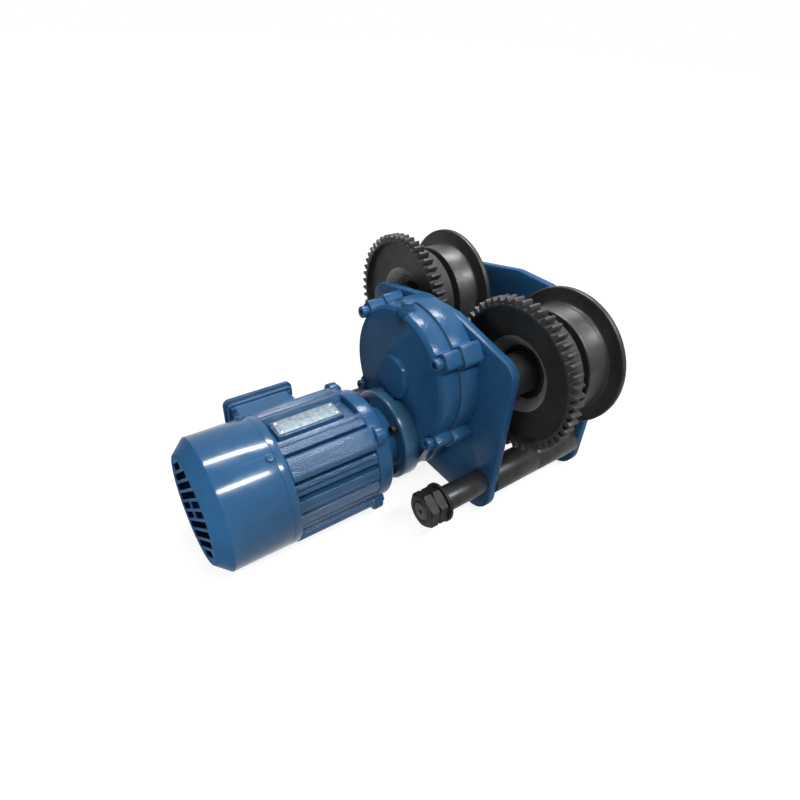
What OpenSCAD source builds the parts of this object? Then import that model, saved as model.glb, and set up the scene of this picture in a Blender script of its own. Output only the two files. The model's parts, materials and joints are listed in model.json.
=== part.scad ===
/* [Wheels and beam] */
// Distance between the front and rear axles
wheelbase = 186; // [184:1:200]
// Diameter of the running tread
tread_d = 111; // [100:1:118]
// Diameter of the plain flange on the idle wheels
flange_d = 144; // [130:1:152]
// Thickness of the plain flange
flange_t = 6; // [4:0.5:9]
// Distance between the two flanges that straddle the beam
flange_gap = 62; // [58:1:90]
// Gap left for the beam's web between drive and idle treads
web_gap = 8; // [6:1:12]
// Width of the toothed rim on the drive wheels
gear_w = 13; // [10:1:20]
// Depth of the recess in the drive wheel's face
web_recess = 7.5; // [5:0.5:8]
// Radius of the conical mouth round the drive wheel's bearing
mouth_r = 39; // [36:0.5:44]
// Length of the hub behind the idle wheel's flange
idle_hub_h = 13; // [11:1:20]
// Diameter of the idle wheel's hub
hub_d = 70; // [64:1:76]

/* [Gearing] */
// Module of the wheel gears
wheel_module = 3; // [3:0.5:3]
// Teeth on each drive wheel
wheel_teeth = 50; // [50:1:52]
// Teeth on the output pinion
pinion_teeth = 15; // [14:1:17]
// Module of the first reduction
motor_module = 2; // [2:0.5:2]
// Teeth on the reduction gear
reduction_teeth = 60; // [56:1:60]
// Teeth on the motor pinion
motor_pinion_teeth = 12; // [12:1:14]
// Tooth thinning that gives backlash
backlash = 0.24; // [0.15:0.01:0.4]

/* [Side plates] */
// Thickness of both side plates
plate_t = 10; // [8:1:12]
// Half of the plate's length
plate_half = 114; // [112:1:124]
// Height of the plate's middle above the running surface
plate_top = 97; // [94:1:110]
// Height of the plate's shoulders above the running surface
plate_shoulder = 80; // [76:1:88]
// Depth of the plate below the running surface
plate_bottom = 110; // [106:1:125]
// Corner radius at the bottom of the plates
plate_corner_r = 26; // [12:1:30]
// Gap from the drive wheel's face to its plate
drive_plate_gap = 10; // [8:0.5:14]
// Gap from the idle wheel's hub to its plate
idle_plate_gap = 26; // [10:1:30]

/* [Axles and bearings] */
// Axle diameter in the wheel bearings
axle_d = 30; // [28:1:32]
// Outer diameter of the wheel bearings
wheel_bearing_d = 55; // [52:1:58]
// Width of a wheel bearing
wheel_bearing_w = 13; // [12:0.5:13]
// Diameter where a wheel bearing's rings meet
wheel_bearing_mid_d = 42; // [40:0.5:44]
// Axle diameter in the side plate
axle_root_d = 32; // [28:1:34]
// Steel left in the side plate behind each axle's blind bore
plate_skin = 2; // [1.5:0.5:4]

/* [Load shafts] */
// Distance of each load shaft from the middle
load_shaft_x = 98; // [94:1:100]
// Depth of the load shafts below the running surface
load_shaft_drop = 70; // [68:1:82]
// Load shaft diameter
load_shaft_d = 22; // [20:1:22]
// Outer diameter of the pipe spacer outside the drive plate
pipe_d = 26.9; // [26:0.1:30]
// Length of the pipe spacer outside the drive plate
pipe_len = 55; // [30:1:60]
// Outer diameter of the collars between the plates
collar_d = 36; // [30:1:40]
// Size of the load shaft nuts across flats
shaft_nut_af = 34; // [32:1:36]
// Thickness of a jam nut
jam_nut_t = 11; // [9:1:14]
// Reach of the load shafts outside the idle side plate
shaft_tail = 9; // [9:0.5:11]
// Diameter of the washer under the split pins
tail_washer_d = 28; // [26:1:30]
// Thickness of the load shaft washers
shaft_washer_t = 3; // [2:0.5:4]
// Diameter of the load shaft washers
shaft_washer_d = 42; // [38:1:46]

/* [Gearbox] */
// Radius of the base housing
gearbox_r = 77; // [76:0.5:82]
// Radius of the cover
gearbox_cover_r = 75; // [73:0.5:75.5]
// Depth of the base housing
gearbox_base_h = 24; // [24:1:30]
// Depth of the cover
gearbox_cover_h = 23.5; // [23.5:0.5:30]
// Wall of the gearbox
gearbox_wall = 8; // [6:0.5:9]
// Gasket thickness
gasket_t = 0.5; // [0.5:0.1:1]
// Radius of the lower lobe round the motor pinion
lobe_r = 45.5; // [44.5:0.5:48]
// Across bolt spacing of the gearbox
gearbox_bolt_dx = 124; // [122:1:128]
// Vertical bolt spacing of the gearbox
gearbox_bolt_dz = 94; // [92:1:98]
// Half of the bolt lugs' width
lug_half = 9; // [8:0.5:10]
// Radius of the bolt lugs' corners
lug_corner_r = 4; // [2:0.5:5]
// Radius of the bearing boss on the cover
boss_r = 24; // [23:0.5:26]
// Height of the bearing boss on the cover
boss_h = 6; // [4:0.5:8]

/* [Motor] */
// Diameter of the round adapter flange
adapter_d = 102; // [98:1:104]
// Thickness of the adapter flange
adapter_t = 18; // [14:1:24]
// Distance of the adapter's screws from the motor's axis
adapter_bolt_r = 41; // [41:0.5:42.5]
// Length of the motor body casting
body_len = 90; // [84:1:110]
// Radius of the body's shell
body_r = 52; // [51:0.5:53]
// Radius over the cooling fins
fin_r = 60; // [57:0.5:61]
// Thickness of a cooling fin
fin_t = 3; // [2.5:0.1:3.5]
// Half of the width of the body's corner bosses
corner_half = 12; // [11:0.5:13]
// Radius over the body's corner bosses
corner_reach = 67; // [66:0.5:70]
// Length of the drive end shield's neck
shield_neck = 14; // [10:1:18]
// Length of the drive end shield
shield_len = 38; // [36:1:44]
// Thickness of the ears that hold the tie bolts
ear_t = 10; // [8:1:12]
// Distance of the tie bolts from the motor's axis
tie_r = 62; // [60:0.5:63]
// Thickness of the rear end shield's lip
rear_lip_t = 8; // [6:1:10]
// Length of the rear end shield
rear_shield_len = 16; // [15:1:20]
// Radius of the fan cover
fan_cover_r = 66.5; // [66:0.5:70]
// Length of the fan cover
fan_cover_len = 70; // [66:1:90]
// Length of the fan cover's sloped end
fan_cover_cone = 13; // [8:1:16]
// Step from the fan cover's radius in to its flat end
fan_cover_step = 12.5; // [10:0.5:14]
// Wall of the fan cover
fan_cover_t = 1.8; // [1.5:0.1:2.2]
// Distance between the slots in the fan cover's end
slot_pitch = 9.5; // [9:0.5:12]
// Width of the slots in the fan cover's end
slot_w = 6.5; // [5:0.5:7]
// Motor bearing outer diameter
motor_bearing_d = 40; // [36:1:40]
// Motor bearing width
motor_bearing_w = 12; // [11:0.5:12]
// Motor shaft diameter in its bearings
motor_shaft_d = 17; // [15:1:17]
// Outer diameter of the stator core
stator_d = 88; // [84:1:90]
// Outer diameter of the rotor core
rotor_d = 54; // [50:1:56]

/* [Terminal box] */
// Length of the box along the motor
box_len = 66; // [60:1:68]
// Height of the box
box_h = 72; // [66:1:76]
// Distance from the motor's axis to the lid's seat
box_reach = 86; // [80:1:92]
// Lid thickness
lid_t = 6; // [4:0.5:8]
// Overhang of the lid round the box
lid_over = 6; // [4:0.5:8]
// Wall of the box
box_wall = 4; // [3:0.5:5]
// Diameter of the threaded cable entry
cable_entry_d = 14.4; // [12:0.2:15]
// Height of the boss round the cable entry
entry_boss_h = 6; // [5:0.5:8]

/* [Hidden] */
$fn = 64;

enamel = "#3C72A8";
dark_enamel = "#1F3346";
black_steel = "#2A2A2C";
bright_steel = "#9A9DA0";
black_rubber = "#151515";

// Clearances
press_clear = 0.02;
run_clear = 0.05;
loose = 0.2;
thread_clear = 0.05;

// Places along the axles, drive side negative
drive_flange_y = -flange_gap / 2;
idle_flange_y = flange_gap / 2;
tread_end = web_gap / 2;
gear_front_y = drive_flange_y - gear_w;
plate_in_y = gear_front_y - drive_plate_gap;
plate_out_y = plate_in_y - plate_t;
idle_face_y = idle_flange_y + flange_t;
idle_hub_y = idle_face_y + idle_hub_h;
idle_in_y = idle_hub_y + idle_plate_gap;
idle_out_y = idle_in_y + plate_t;

// Places of the shafts
axle_z = tread_d / 2;
axle_x = wheelbase / 2;
mesh_distance = wheel_module * (wheel_teeth + pinion_teeth) / 2;
mesh_drop = sqrt(mesh_distance * mesh_distance - axle_x * axle_x);
output_z = axle_z - mesh_drop;
motor_distance = motor_module * (reduction_teeth + motor_pinion_teeth) / 2;
motor_z = output_z - motor_distance;

// Places along the gearbox and motor
joint_y = plate_out_y - gearbox_base_h;
cover_back_y = joint_y - gasket_t;
cover_front_y = cover_back_y - gearbox_cover_h;
boss_front_y = cover_front_y - boss_h;
adapter_y = cover_front_y - adapter_t;
neck_y = adapter_y - shield_neck;
shield_flare = 6;
flare_y = neck_y - shield_flare;
shield_y = adapter_y - shield_len;
body_back_y = shield_y - body_len;
rear_lip_y = body_back_y - rear_lip_t;
rear_shield_y = body_back_y - rear_shield_len;
fan_cover_y = rear_lip_y;
fan_cover_end_y = fan_cover_y - fan_cover_len;

// Wheel details
tread_r = tread_d / 2;
flange_r = flange_d / 2;
hub_r = hub_d / 2;
load_shaft_r = load_shaft_d / 2;
wheel_bearing_r = wheel_bearing_d / 2;
wheel_bearing_mid_r = wheel_bearing_mid_d / 2;
axle_r = axle_d / 2;
axle_root_r = axle_root_d / 2;
axle_shoulder_r = wheel_bearing_mid_r - 0.5;
axle_end_gap = 0.2;
axle_chamfer = 1;
lip_w = 3;
lip_r = wheel_bearing_r - 3;
bearing_in_y = tread_end + lip_w;
bearing_gap = 0.2;
bearing_out_y = bearing_in_y + 2 * wheel_bearing_w + bearing_gap;
circlip_t = 1.5;
circlip_depth = 1;
circlip_reach = 3;
web_r = wheel_module * wheel_teeth / 2 - 7.75;
root_fillet = 3;

// Output shaft details
output_bearing_r = 26;
output_bearing_w = 15;
output_shaft_r = 12.5;
output_mid_r = 18;
cover_bearing_r = 20;
cover_bearing_w = 12;
cover_shaft_r = 8.5;
cover_mid_r = 13;
bearing_seat_wall = 6;
gear_seat_r = 14;
reduction_w = 16;
spigot_r = 36;
spigot_h = 8;
seal_r = 20;
seal_w = 6;
seal_inset = 1;
pinion_w = gear_w + 6;
pinion_y0 = gear_front_y - 3;
cavity_r = gearbox_cover_r - gearbox_wall;
cavity_lobe_r = 22;
cavity_back_y = plate_out_y - gearbox_wall;
cavity_front_y = cover_front_y + gearbox_wall;
output_bearing_y = plate_out_y - output_bearing_w;
cover_bearing_y = cover_front_y + cover_bearing_w;
reduction_y = output_bearing_y - 1 - reduction_w;
gearbox_screw_r = 4;
gearbox_screw_clear = 0.4;
lug_inset = 4;
lug_front_y = cover_front_y + lug_inset;
base_lobe_r = lobe_r + 1.5;
base_lug_half = lug_half + 2;
cover_edge = 4;
plug_y = (cover_front_y + cover_back_y) / 2 - 2;
plug_seat_z = output_z + gearbox_cover_r + 1;
plug_washer_t = 1.5;
plug_r = 5;
plug_depth = 9;
plug_washer_r = 9;
plug_hex_r = 7;
plug_hex_h = 5;
adapter_screw_r = 3;
adapter_screw_tip_y = cover_front_y + gearbox_wall - 2;

// Motor details
motor_bearing_r = motor_bearing_d / 2;
motor_shaft_r = motor_shaft_d / 2;
motor_mid_r = motor_shaft_r + 4.5;
fan_shaft_r = motor_shaft_r - 2;
rotor_seat_r = motor_shaft_r + 4;
drive_bearing_y = flare_y;
input_seal_w = 6;
pinion_shaft_r = 6;
motor_pinion_y0 = reduction_y - 4;
motor_pinion_y1 = reduction_y + reduction_w + 2;
ear_r = 10;
ear_seat_y = shield_y + ear_t;
tie_screw_r = 3;
tie_head_r = 5.77;
tie_head_h = 4;
tie_angles = [45:90:315];
stator_r = stator_d / 2;
rotor_r = rotor_d / 2;
stator_inset = 10;
fan_y = rear_shield_y - 10;
fan_cover_inner_r = fan_cover_r - fan_cover_t - loose;
fan_screw_y = (rear_shield_y + fan_cover_y) / 2;
fan_screw_r = 2.5;
fan_screw_angles = [60, 120, 240, 300];
nameplate_len = 65;
nameplate_w = 20;
nameplate_t = 0.8;
plate_pad_h = 6;
nameplate_z = motor_z + body_r + plate_pad_h;
plate_pad_y = (body_back_y + shield_y) / 2 - 3.5;
plate_pad_edge = 2.5;

// Terminal box details
box_y = body_back_y - 4;
box_seat = fin_r + 1;
box_window_r = 14;
box_rim = 4;
box_rim_t = 5;
entry_x = -(box_reach - box_rim_t + box_seat + box_wall) / 2;
entry_boss_wall = 3.5;
lid_gasket_t = 1;
lid_y = -box_reach - lid_gasket_t;
lid_screw_r = 2;
lid_screw_depth = 12;

// Draws a flat shape given as x and z, from one y to another
module span(y0, y1) {
    translate([0, y1, 0])
        rotate([90, 0, 0])
            linear_extrude(height = y1 - y0)
                children();
}

// Turns a profile given as radius and y about an axle at x and z
module turned(x, z) {
    translate([x, 0, z])
        rotate([-90, 0, 0])
            rotate_extrude()
                children();
}

module rod(x, z, y0, y1, r) {
    translate([x, y1, z])
        rotate([90, 0, 0])
            cylinder(h = y1 - y0, r = r);
}

module taper(x, z, y0, y1, r0, r1) {
    translate([x, y1, z])
        rotate([90, 0, 0])
            cylinder(h = y1 - y0, r1 = r1, r2 = r0);
}

module ring(x, z, y0, y1, r_out, r_in) {
    difference() {
        rod(x, z, y0, y1, r_out);
        rod(x, z, y0 - 1, y1 + 1, r_in);
    }
}

// Half of the corner's opening angle at b
function corner_angle(a, b, c) =
    let (u = (a - b) / norm(a - b), v = (c - b) / norm(c - b))
    acos(u * v) / 2;

// Outline with true arcs at its convex corners; points hold x, z and a radius
module rounded_outline(points) {
    n = len(points);
    xy = [for (p = points) [p[0], p[1]]];
    function before(i) = xy[(i + n - 1) % n];
    function after(i) = xy[(i + 1) % n];
    function reach(i) = points[i][2] / tan(corner_angle(before(i), xy[i], after(i)));
    function toward(i, q) = xy[i] + reach(i) * (q - xy[i]) / norm(q - xy[i]);
    function centre(i) =
        let (m = (toward(i, before(i)) + toward(i, after(i))) / 2 - xy[i],
             d = points[i][2] / sin(corner_angle(before(i), xy[i], after(i))))
        xy[i] + d * m / norm(m);
    polygon([for (i = [0:n - 1]) each [toward(i, before(i)), toward(i, after(i))]]);
    for (i = [0:n - 1])
        translate(centre(i))
            circle(r = points[i][2]);
}

// Involute gear outline
function involute(a) = tan(a) * 180 / PI - a;
function tooth_half(m, z, shift, r) =
    let (rp = m * z / 2,
         rb = rp * cos(20),
         rr = max(r, rb),
         at_pitch = (PI * m / 2 + 2 * shift * m * tan(20) - backlash) / (2 * rp) * 180 / PI)
    at_pitch + involute(20) - involute(acos(rb / rr));
function flank_radii(m, z, shift) =
    let (rp = m * z / 2,
         rb = rp * cos(20),
         tip = rp + (1 + shift) * m,
         root = rp - (1.25 - shift) * m,
         start = max(rb, root),
         steps = 4)
    concat(root < rb ? [root] : [], [for (i = [0:steps]) start + (tip - start) * i / steps]);
function gear_points(m, z, shift, phase) =
    let (radii = flank_radii(m, z, shift), last = len(radii) - 1)
    [for (t = [0:z - 1])
        each concat(
            [for (i = [0:last])
                let (a = phase + 360 * t / z - tooth_half(m, z, shift, radii[i]))
                radii[i] * [cos(a), sin(a)]],
            [for (i = [0:last])
                let (r = radii[last - i], a = phase + 360 * t / z + tooth_half(m, z, shift, r))
                r * [cos(a), sin(a)]])];

module gear_ring(x, z, y0, y1, m, teeth, shift, phase) {
    translate([x, y1, z])
        rotate([90, 0, 0])
            linear_extrude(height = y1 - y0)
                polygon(gear_points(m, teeth, shift, phase));
}

// The pinion has a tooth straight up; a wheel has a gap where that pattern meets it
wheel_shift = -0.15;
pinion_shift = 0.15;
mesh_angle = atan2(mesh_drop, axle_x);
function wheel_phase(line) =
    let (offset = (90 - line) % (360 / pinion_teeth))
    line + 180 - offset * pinion_teeth / wheel_teeth + 180 / wheel_teeth;

reduction_shift = -0.3;
motor_pinion_shift = 0.3;

// Outline of both side plates
module plate_outline() {
    flat = 25;
    corner = 10;
    rounded_outline([
        [plate_half, -plate_bottom, plate_corner_r],
        [plate_half, plate_shoulder - corner, 14],
        [plate_half - corner, plate_shoulder, 10],
        [flat, plate_top, 20],
        [-flat, plate_top, 20],
        [corner - plate_half, plate_shoulder, 10],
        [-plate_half, plate_shoulder - corner, 14],
        [-plate_half, -plate_bottom, plate_corner_r]
    ]);
}

module plate_holes() {
    for (side = [-1, 1])
        translate([side * load_shaft_x, -load_shaft_drop])
            circle(r = load_shaft_r + loose);
}

// Blind bores that hold the stub axles
module axle_seats(y0, y1) {
    for (side = [-1, 1])
        rod(side * axle_x, axle_z, y0, y1, axle_root_r + press_clear);
}

module gearbox_bolt_places() {
    for (sx = [-1, 1])
        for (sz = [-1, 1])
            translate([sx * gearbox_bolt_dx / 2, output_z + sz * gearbox_bolt_dz / 2])
                children();
}

module drive_side_plate() {
    color(enamel)
        difference() {
            span(plate_out_y, plate_in_y)
                difference() {
                    plate_outline();
                    plate_holes();
                    translate([0, output_z])
                        circle(r = spigot_r + 2 * run_clear);
                    gearbox_bolt_places()
                        circle(r = gearbox_screw_r + run_clear);
                }
            axle_seats(plate_out_y + plate_skin, plate_in_y + 1);
        }
}

module idle_side_plate() {
    color(enamel)
        difference() {
            span(idle_in_y, idle_out_y)
                difference() {
                    plate_outline();
                    plate_holes();
                }
            axle_seats(idle_in_y - 1, idle_out_y - plate_skin);
        }
}

// Load shafts and what is threaded on them
split_pin_r = 2;
split_pin_reach = 5;
shaft_chamfer = 1;
shaft_centre_r = 2.5;
shaft_centre_depth = 2;
near_washer_y = plate_out_y - pipe_len - shaft_washer_t;
jam_1_y = near_washer_y - jam_nut_t;
jam_2_y = jam_1_y - jam_nut_t;
far_washer_y = idle_out_y + shaft_washer_t;
split_pin_y = far_washer_y + split_pin_r + 0.3;
shaft_end_y = idle_out_y + shaft_tail;

module load_shaft(x) {
    z = -load_shaft_drop;
    difference() {
        union() {
            rod(x, z, jam_2_y + shaft_chamfer, shaft_end_y - shaft_chamfer, load_shaft_r);
            taper(x, z, jam_2_y - shaft_chamfer / 2, jam_2_y + shaft_chamfer,
                load_shaft_r - 1.5 * shaft_chamfer, load_shaft_r);
            taper(x, z, shaft_end_y - shaft_chamfer, shaft_end_y, load_shaft_r,
                load_shaft_r - shaft_chamfer);
        }
        rod(x, z, jam_2_y - shaft_chamfer, jam_2_y + shaft_centre_depth, shaft_centre_r);
        translate([x, split_pin_y, z - load_shaft_d])
            cylinder(h = 2 * load_shaft_d, r = split_pin_r + thread_clear);
    }
}

module front_load_shaft() {
    color(black_steel)
        load_shaft(load_shaft_x);
}

module rear_load_shaft() {
    color(black_steel)
        load_shaft(-load_shaft_x);
}

// Hex nut with turned corners
module hex_nut(x, z, y0, y1, af, bore_r) {
    corner_r = af / sqrt(3);
    difference() {
        intersection() {
            translate([x, y1, z])
                rotate([90, 0, 0])
                    rotate(30)
                        cylinder(h = y1 - y0, r = corner_r, $fn = 6);
            turned(x, z)
                polygon([
                    [0, y0], [af / 2 - 0.5, y0], [corner_r, y0 + 1.6],
                    [corner_r, y1 - 1.6], [af / 2 - 0.5, y1], [0, y1]
                ]);
        }
        rod(x, z, y0 - 1, y1 + 1, bore_r);
    }
}

module load_shaft_nuts() {
    bore_r = load_shaft_r + thread_clear;
    color(black_steel)
        for (side = [-1, 1]) {
            x = side * load_shaft_x;
            hex_nut(x, -load_shaft_drop, jam_1_y, near_washer_y, shaft_nut_af, bore_r);
            hex_nut(x, -load_shaft_drop, jam_2_y, jam_1_y, shaft_nut_af, bore_r);
        }
}

module load_shaft_washers() {
    color(black_steel)
        for (side = [-1, 1]) {
            x = side * load_shaft_x;
            z = -load_shaft_drop;
            ring(x, z, near_washer_y, near_washer_y + shaft_washer_t,
                shaft_washer_d / 2, load_shaft_r + loose);
            ring(x, z, idle_out_y, far_washer_y, tail_washer_d / 2, load_shaft_r + loose);
        }
}

module load_shaft_split_pins() {
    eye_r = 1.1 * split_pin_r;
    wire_r = 0.65 * split_pin_r;
    color(bright_steel)
        for (side = [-1, 1])
            translate([side * load_shaft_x, split_pin_y, -load_shaft_drop]) {
                translate([0, 0, -load_shaft_r - split_pin_reach])
                    cylinder(h = load_shaft_d + 2 * split_pin_reach, r = split_pin_r);
                translate([0, 0, load_shaft_r + split_pin_reach + 0.75 * split_pin_r])
                    rotate([0, 90, 0])
                        rotate_extrude()
                            translate([eye_r, 0])
                                circle(r = wire_r, $fn = 24);
            }
}

module outer_spacer_pipes() {
    color(black_steel)
        for (side = [-1, 1])
            ring(side * load_shaft_x, -load_shaft_drop,
                plate_out_y - pipe_len, plate_out_y, pipe_d / 2, load_shaft_r + loose);
}

// Two collars on each shaft keep the plates apart
collar_gap = 0.3;
collar_seam_y = (plate_in_y + idle_in_y) / 2;
module inner_spacer_collars() {
    r_in = load_shaft_r + loose;
    color(black_steel)
        for (side = [-1, 1]) {
            x = side * load_shaft_x;
            z = -load_shaft_drop;
            ring(x, z, plate_in_y, collar_seam_y - collar_gap / 2, collar_d / 2, r_in);
            ring(x, z, collar_seam_y + collar_gap / 2, idle_in_y, collar_d / 2, r_in);
        }
}

// Stub axle for the drive side; the idle side has the same part reversed
module stub_axle(x, side, plate_face, plate_back) {
    end = bearing_in_y - 2 * circlip_t;
    groove_r = axle_r - circlip_depth;
    groove_y = bearing_in_y - circlip_t - run_clear;
    c = axle_chamfer;
    turned(x, axle_z)
        polygon([for (p = [
            [0, end], [axle_r - c, end], [axle_r, end + c],
            [axle_r, groove_y], [groove_r, groove_y],
            [groove_r, bearing_in_y], [axle_r, bearing_in_y],
            [axle_r, bearing_out_y], [axle_shoulder_r, bearing_out_y],
            [axle_shoulder_r, plate_face], [axle_root_r, plate_face],
            [axle_root_r, plate_back - c], [axle_root_r - c, plate_back], [0, plate_back]
        ]) [p[0], side * p[1]]]);
}

module front_drive_axle() {
    color(black_steel)
        stub_axle(axle_x, -1, -plate_in_y, -plate_out_y - plate_skin - axle_end_gap);
}

module rear_drive_axle() {
    color(black_steel)
        stub_axle(-axle_x, -1, -plate_in_y, -plate_out_y - plate_skin - axle_end_gap);
}

module front_idle_axle() {
    color(black_steel)
        stub_axle(axle_x, 1, idle_in_y, idle_out_y - plate_skin - axle_end_gap);
}

module rear_idle_axle() {
    color(black_steel)
        stub_axle(-axle_x, 1, idle_in_y, idle_out_y - plate_skin - axle_end_gap);
}

// Sprung clips with their gap and lugs facing up
module circlip(x, side) {
    y0 = side > 0 ? bearing_in_y - circlip_t : -bearing_in_y;
    difference() {
        ring(x, axle_z, y0, y0 + circlip_t, axle_r + circlip_reach,
            axle_r - circlip_depth + run_clear);
        translate([x - 2, y0 - 1, axle_z])
            cube([4, circlip_t + 2, axle_d]);
    }
}

module axle_circlips() {
    color(bright_steel)
        for (x = [-axle_x, axle_x])
            for (side = [-1, 1])
                circlip(x, side);
}

module bearing_ring_pair(x, side, r_out, r_in) {
    for (k = [0, 1]) {
        start = bearing_in_y + k * (wheel_bearing_w + bearing_gap);
        y0 = side > 0 ? start : -start - wheel_bearing_w;
        ring(x, axle_z, y0, y0 + wheel_bearing_w, r_out, r_in);
    }
}

module wheel_bearing_inner_rings() {
    color(bright_steel)
        for (x = [-axle_x, axle_x])
            for (side = [-1, 1])
                bearing_ring_pair(x, side, wheel_bearing_mid_r, axle_r + press_clear);
}

module bearing_outers(x, side) {
    color(bright_steel)
        bearing_ring_pair(x, side, wheel_bearing_r - press_clear,
            wheel_bearing_mid_r + run_clear);
}

module front_drive_bearing_outers() {
    bearing_outers(axle_x, -1);
}

module rear_drive_bearing_outers() {
    bearing_outers(-axle_x, -1);
}

module front_idle_bearing_outers() {
    bearing_outers(axle_x, 1);
}

module rear_idle_bearing_outers() {
    bearing_outers(-axle_x, 1);
}

// Turned body shared by both kinds of wheel, with y measured from the web outwards;
// face_points run from the rim's outer edge in to the bearing's bore
module wheel_body(x, side, rim_r, face_points) {
    turned(x, axle_z)
        polygon([for (p = concat([
            [lip_r, tread_end], [tread_r - 1, tread_end], [tread_r, tread_end + 1],
            [tread_r, -drive_flange_y - root_fillet], [tread_r + 1, -drive_flange_y - 1],
            [tread_r + root_fillet, -drive_flange_y],
            [rim_r - 1, -drive_flange_y], [rim_r, -drive_flange_y + 1]
        ], face_points, [[wheel_bearing_r, bearing_in_y], [lip_r, bearing_in_y]])
        ) [p[0], side * p[1]]]);
}

module drive_wheel(x, phase) {
    root_r = wheel_module * wheel_teeth / 2 - (1.25 - wheel_shift) * wheel_module;
    rim_r = root_r - 0.5;
    rim_y = -gear_front_y;
    wheel_body(x, -1, rim_r, [
        [rim_r, rim_y - 1], [rim_r - 1, rim_y],
        [web_r + 1, rim_y], [web_r, rim_y - web_recess],
        [mouth_r, rim_y - web_recess], [wheel_bearing_r + 2.5, bearing_out_y],
        [wheel_bearing_r, bearing_out_y]
    ]);
    difference() {
        gear_ring(x, axle_z, gear_front_y, drive_flange_y, wheel_module, wheel_teeth,
            wheel_shift, phase);
        rod(x, axle_z, gear_front_y - 1, drive_flange_y + 1, root_r - 2);
    }
}

module front_drive_wheel() {
    color(black_steel)
        drive_wheel(axle_x, wheel_phase(mesh_angle));
}

module rear_drive_wheel() {
    color(black_steel)
        drive_wheel(-axle_x, wheel_phase(180 - mesh_angle));
}

module idle_wheel(x) {
    recess = 2;
    recess_r = flange_r - 14;
    wheel_body(x, 1, flange_r, [
        [flange_r, idle_face_y - 1], [flange_r - 1, idle_face_y],
        [recess_r + 1, idle_face_y], [recess_r, idle_face_y - recess],
        [hub_r + 2, idle_face_y - recess], [hub_r, idle_face_y],
        [hub_r, idle_hub_y - 1.5], [hub_r - 1.5, idle_hub_y],
        [wheel_bearing_r, idle_hub_y]
    ]);
}

module front_idle_wheel() {
    color(black_steel)
        idle_wheel(axle_x);
}

module rear_idle_wheel() {
    color(black_steel)
        idle_wheel(-axle_x);
}

// Two circles joined by straight flanks, the main one at the output shaft. The flanks
// start a little inside the circles, so that they cross them and don't just touch
module pear(main_r, low_r) {
    dip = 0.05;
    tilt = asin((main_r - low_r) / motor_distance);
    side = [cos(tilt), -sin(tilt)];
    main = (main_r - dip) * side;
    low = (low_r - dip) * side - [0, motor_distance];
    translate([0, output_z]) {
        circle(r = main_r);
        translate([0, -motor_distance])
            circle(r = low_r);
        polygon([main, low, [-low[0], low[1]], [-main[0], main[1]]]);
    }
}

// Square lugs with flat outer faces, turned to point away from the output shaft
module lug_outline(half) {
    lean = atan2(gearbox_bolt_dz, gearbox_bolt_dx);
    for (sx = [-1, 1])
        for (sz = [-1, 1])
            translate([sx * gearbox_bolt_dx / 2, output_z + sz * gearbox_bolt_dz / 2])
                rotate(sx * sz * lean)
                    rounded_outline([
                        [half, -half, lug_corner_r], [half, half, lug_corner_r],
                        [-half, half, lug_corner_r], [-half, -half, lug_corner_r]
                    ]);
}

module gearbox_bolt_rods(y0, y1, r) {
    span(y0, y1)
        gearbox_bolt_places()
            circle(r = r);
}

module gearbox_housing() {
    color(enamel)
        difference() {
            union() {
                span(joint_y, plate_out_y) {
                    pear(gearbox_r, base_lobe_r);
                    lug_outline(base_lug_half);
                }
                rod(0, output_z, plate_out_y, plate_out_y + spigot_h, spigot_r);
            }
            difference() {
                span(joint_y - 1, cavity_back_y)
                    pear(cavity_r, cavity_lobe_r);
                rod(0, output_z, output_bearing_y, cavity_back_y + 1,
                    output_bearing_r + bearing_seat_wall);
            }
            rod(0, output_z, joint_y - 1, plate_out_y, output_bearing_r + press_clear);
            rod(0, output_z, plate_out_y - 1, plate_out_y + spigot_h + 1, seal_r + press_clear);
            gearbox_bolt_rods(joint_y - 1, plate_out_y + 1, gearbox_screw_r + gearbox_screw_clear);
        }
}

module gearbox_gasket() {
    color(black_rubber)
        span(cover_back_y, joint_y)
            difference() {
                union() {
                    pear(gearbox_cover_r, lobe_r);
                    lug_outline(lug_half);
                }
                pear(cavity_r, cavity_lobe_r);
                gearbox_bolt_places()
                    circle(r = gearbox_screw_r + gearbox_screw_clear);
            }
}

// Turns its children about the output shaft
module rotate_about_output(angle) {
    translate([0, 0, output_z])
        rotate([0, -angle, 0])
            translate([0, 0, -output_z])
                children();
}

// Boss that stands on top of the cover
module top_boss(r, h) {
    translate([0, plug_y, output_z + gearbox_cover_r - 6])
        cylinder(h = 6 + h, r = r);
}

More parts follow.
